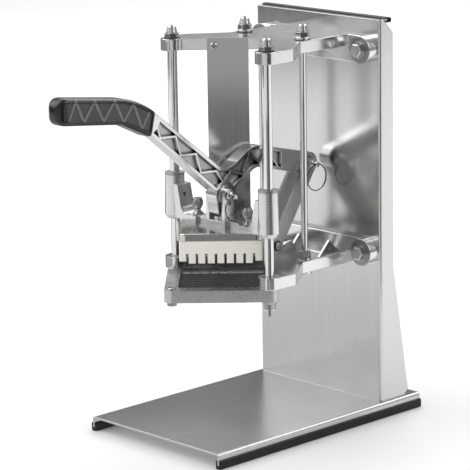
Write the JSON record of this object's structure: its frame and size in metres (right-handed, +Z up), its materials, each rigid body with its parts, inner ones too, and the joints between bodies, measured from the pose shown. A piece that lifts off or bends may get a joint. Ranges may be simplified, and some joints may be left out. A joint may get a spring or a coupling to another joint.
{
  "type": "lever press cutter",
  "caption": "Upright lever press that drives a slotted block through a square frame of crossed blades to cut vegetables into sticks, on a folded stand.",
  "frame": {"origin": "on the floor, under the middle of the machine's overall box", "axes": "+Z up, -Y towards the user who holds the lever, +X to the user's right"},
  "size_m": [0.1924, 0.412, 0.418],
  "materials": {
    "sheet_steel": "fine brushed",
    "edging_rubber": "satin",
    "cast_metal": "polished casting",
    "bright_rod": "bright",
    "guard_steel": "near mirror",
    "fastener_steel": "bright",
    "blade_steel": "ground",
    "block_plastic": "moulded, low gloss",
    "grip_plastic": "satin",
    "bush_bronze": "dull",
    "clip_steel": "blackened"
  },
  "bodies": {
    "stand": {"base_plate": "sheet_steel", "base_edging_left": "edging_rubber", "base_edging_right": "edging_rubber", "upright_panel": "sheet_steel", "top_edging": "edging_rubber", "upright_screws": "fastener_steel", "upright_nuts": "fastener_steel", "upper_bracket": "cast_metal", "lower_bracket": "cast_metal", "bracket_bolts": "fastener_steel", "bracket_nuts": "fastener_steel", "guide_rod_left": "bright_rod", "guide_rod_right": "bright_rod", "tie_rod_left": "bright_rod", "tie_rod_right": "bright_rod", "cap_nuts": "bright_rod", "tie_nuts": "fastener_steel", "splash_guard_left": "guard_steel", "splash_guard_right": "guard_steel", "guard_screws": "fastener_steel", "guard_nuts": "fastener_steel", "blade_frame": "cast_metal", "blades_lower": "blade_steel", "blades_upper": "blade_steel", "corner_screw": "fastener_steel", "corner_nut": "fastener_steel"},
    "carriage": {"carriage": "cast_metal", "sleeve_bushes": "bush_bronze", "carriage_screw": "fastener_steel", "pusher_plate": "cast_metal", "push_block": "block_plastic", "pivot_pin": "fastener_steel"},
    "lever": {"lever_arm": "cast_metal", "lever_bushes": "bush_bronze", "lever_grip": "grip_plastic"},
    "links": {"link_left": "fastener_steel", "link_right": "fastener_steel", "link_pin": "fastener_steel", "link_clips": "clip_steel"},
    "rear_pin": {"rear_pin": "fastener_steel"},
    "rear_ring": {"rear_ring": "fastener_steel"},
    "pivot_ring": {"pivot_ring": "fastener_steel"},
    "thumb_screw_left": {"thumb_screw_left": "fastener_steel"},
    "thumb_screw_right": {"thumb_screw_right": "fastener_steel"},
    "wing_nut_left": {"wing_nut_left": "fastener_steel"},
    "wing_nut_right": {"wing_nut_right": "fastener_steel"}
  },
  "joints": [
    {"name": "carriage_slide", "type": "slide", "parent": "stand", "child": "carriage", "axis": [0, 0, 1], "range_m": [-0.0385, 0.097]},
    {"name": "lever_hinge", "type": "hinge", "parent": "carriage", "child": "lever", "pos_m": [0, 0.01, 0.2475], "axis": [1, 0, 0], "range_deg": [-42.8, 17.2]},
    {"name": "link_hinge", "type": "hinge", "parent": "stand", "child": "links", "pos_m": [0, 0.079, 0.1835], "axis": [1, 0, 0], "range_deg": [-2.9, 7]},
    {"name": "rear_pin_pull", "type": "slide", "parent": "links", "child": "rear_pin", "axis": [1, 0, 0], "range_m": [0, 0.04]},
    {"name": "rear_ring_swing", "type": "hinge", "parent": "rear_pin", "child": "rear_ring", "pos_m": [0.0181, 0.1311, 0.2621], "axis": [0, 1, 0], "range_deg": [-85, 4]},
    {"name": "pivot_ring_swing", "type": "hinge", "parent": "carriage", "child": "pivot_ring", "pos_m": [0.0208, 0.01, 0.2475], "axis": [0, 1, 0], "range_deg": [-18, 4]},
    {"name": "thumb_screw_left_turn", "type": "hinge", "parent": "carriage", "child": "thumb_screw_left", "pos_m": [-0.0365, 0.013, 0.2155], "axis": [0, 0, 1], "continuous": true},
    {"name": "wing_nut_left_turn", "type": "hinge", "parent": "stand", "child": "wing_nut_left", "pos_m": [-0.0683, 0.011, 0.1485], "axis": [0, 0, 1], "continuous": true},
    {"name": "thumb_screw_right_turn", "type": "hinge", "parent": "carriage", "child": "thumb_screw_right", "pos_m": [0.0365, 0.013, 0.2155], "axis": [0, 0, 1], "continuous": true},
    {"name": "wing_nut_right_turn", "type": "hinge", "parent": "stand", "child": "wing_nut_right", "pos_m": [0.0683, 0.011, 0.1485], "axis": [0, 0, 1], "continuous": true}
  ],
  "couplings": [
    {"joint": "lever_hinge", "follows": "carriage_slide", "rad_per_m": -7.65},
    {"joint": "link_hinge", "follows": "carriage_slide", "rad_per_m": 1.2}
  ]
}
